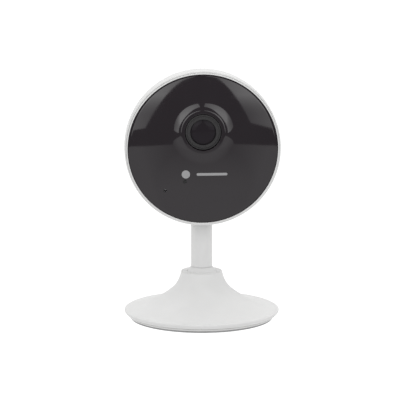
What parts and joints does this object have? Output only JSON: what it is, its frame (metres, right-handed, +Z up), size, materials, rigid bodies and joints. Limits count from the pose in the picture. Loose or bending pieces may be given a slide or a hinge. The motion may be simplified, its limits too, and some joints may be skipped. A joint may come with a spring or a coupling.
{
  "type": "indoor security camera",
  "caption": "Indoor security camera: a round glossy-black face in a white head that tilts on a short stem, held by a ball joint in a flared round base.",
  "frame": {"origin": "centre of the base's underside, on the surface it stands on", "axes": "+Z up; the lens faces -Y; +X to the right when looking at the front"},
  "size_m": [0.064, 0.064, 0.1048],
  "materials": {
    "white_plastic": "fine matte moulded",
    "plate_plastic": "matte moulded",
    "natural_nylon": "waxy moulded",
    "pad_rubber": "matte",
    "black_acrylic": "polished",
    "adhesive_foam": "matte foam tape",
    "black_rubber": "matte",
    "black_plastic": "satin moulded",
    "lens_glass": "coated",
    "filter_glass": "coated",
    "copper_coil": "enamelled winding",
    "zinc_steel": "zinc or tin plated",
    "spring_steel": "plain spring steel",
    "black_screws": "black oxide",
    "magnet": "sintered ferrite",
    "circuit_board": "solder mask",
    "chip_package": "moulded epoxy",
    "thermal_gel": "soft silicone",
    "lamp_body": "moulded",
    "clear_acrylic": "polished",
    "speaker_frame": "satin",
    "wire_sleeve": "smooth sleeve",
    "antenna_copper": "flexible circuit",
    "switch_metal": "stamped"
  },
  "bodies": {
    "base": {"base_shell": "white_plastic", "ball_seat": "natural_nylon", "spring_washers": "spring_steel", "spring_plate": "zinc_steel", "plate_screws": "black_screws", "base_magnet": "magnet", "bottom_plate": "plate_plastic", "base_screws": "black_screws", "foot_pad": "pad_rubber"},
    "swivel_cup": {"ball_cup": "natural_nylon"},
    "ball": {"pivot_ball": "white_plastic", "ball_stud": "zinc_steel", "stud_clip": "black_screws"},
    "stem": {"stem_tube": "white_plastic", "hinge_knuckle": "natural_nylon"},
    "head": {"hinge_bracket": "zinc_steel", "bracket_screws": "black_screws", "hinge_pin": "black_screws", "hinge_nut": "zinc_steel", "friction_washers": "spring_steel", "rear_housing": "white_plastic", "front_frame": "white_plastic", "front_cover": "black_acrylic", "cover_adhesive": "adhesive_foam", "case_screws": "black_screws", "lens_seal": "black_rubber", "lens_barrel": "black_plastic", "front_lens": "lens_glass", "rear_lens": "lens_glass", "lens_holder": "black_plastic", "filter_coil": "copper_coil", "main_board": "circuit_board", "board_screws": "zinc_steel", "image_sensor": "chip_package", "processor": "chip_package", "thermal_pad": "thermal_gel", "shield_can": "zinc_steel", "lamp_board": "circuit_board", "infrared_lamps": "lamp_body", "lamp_ribbon": "lamp_body", "status_lamp": "lamp_body", "light_guide": "clear_acrylic", "microphone": "zinc_steel", "microphone_boot": "black_rubber", "speaker": "speaker_frame", "speaker_gasket": "black_rubber", "lead_wires": "wire_sleeve", "wifi_antenna": "antenna_copper", "antenna_cable": "wire_sleeve", "usb_socket": "zinc_steel", "card_socket": "zinc_steel", "reset_switch": "switch_metal"},
    "filter": {"filter_frame": "black_plastic", "infrared_filter": "filter_glass", "clear_filter": "lens_glass"},
    "button": {"reset_button": "white_plastic"}
  },
  "joints": [
    {"name": "base_swivel", "type": "hinge", "parent": "base", "child": "swivel_cup", "pos_m": [0, 0, 0.0161], "axis": [0, 0, 1], "continuous": true},
    {"name": "stem_lean", "type": "hinge", "parent": "swivel_cup", "child": "ball", "pos_m": [0, 0, 0.0161], "axis": [1, 0, 0], "range_deg": [-18, 18]},
    {"name": "stem_twist", "type": "hinge", "parent": "ball", "child": "stem", "pos_m": [0, 0, 0.0161], "axis": [0, 0, 1], "continuous": true},
    {"name": "head_tilt", "type": "hinge", "parent": "stem", "child": "head", "pos_m": [0, 0, 0.0528], "axis": [1, 0, 0], "range_deg": [-35, 18]},
    {"name": "filter_slide", "type": "slide", "parent": "head", "child": "filter", "axis": [-1, 0, 0], "range_m": [0, 0.0056]},
    {"name": "reset_press", "type": "slide", "parent": "head", "child": "button", "axis": [0, -1, 0], "range_m": [0, 0.0005], "stiffness_N_per_m": 1500}
  ]
}
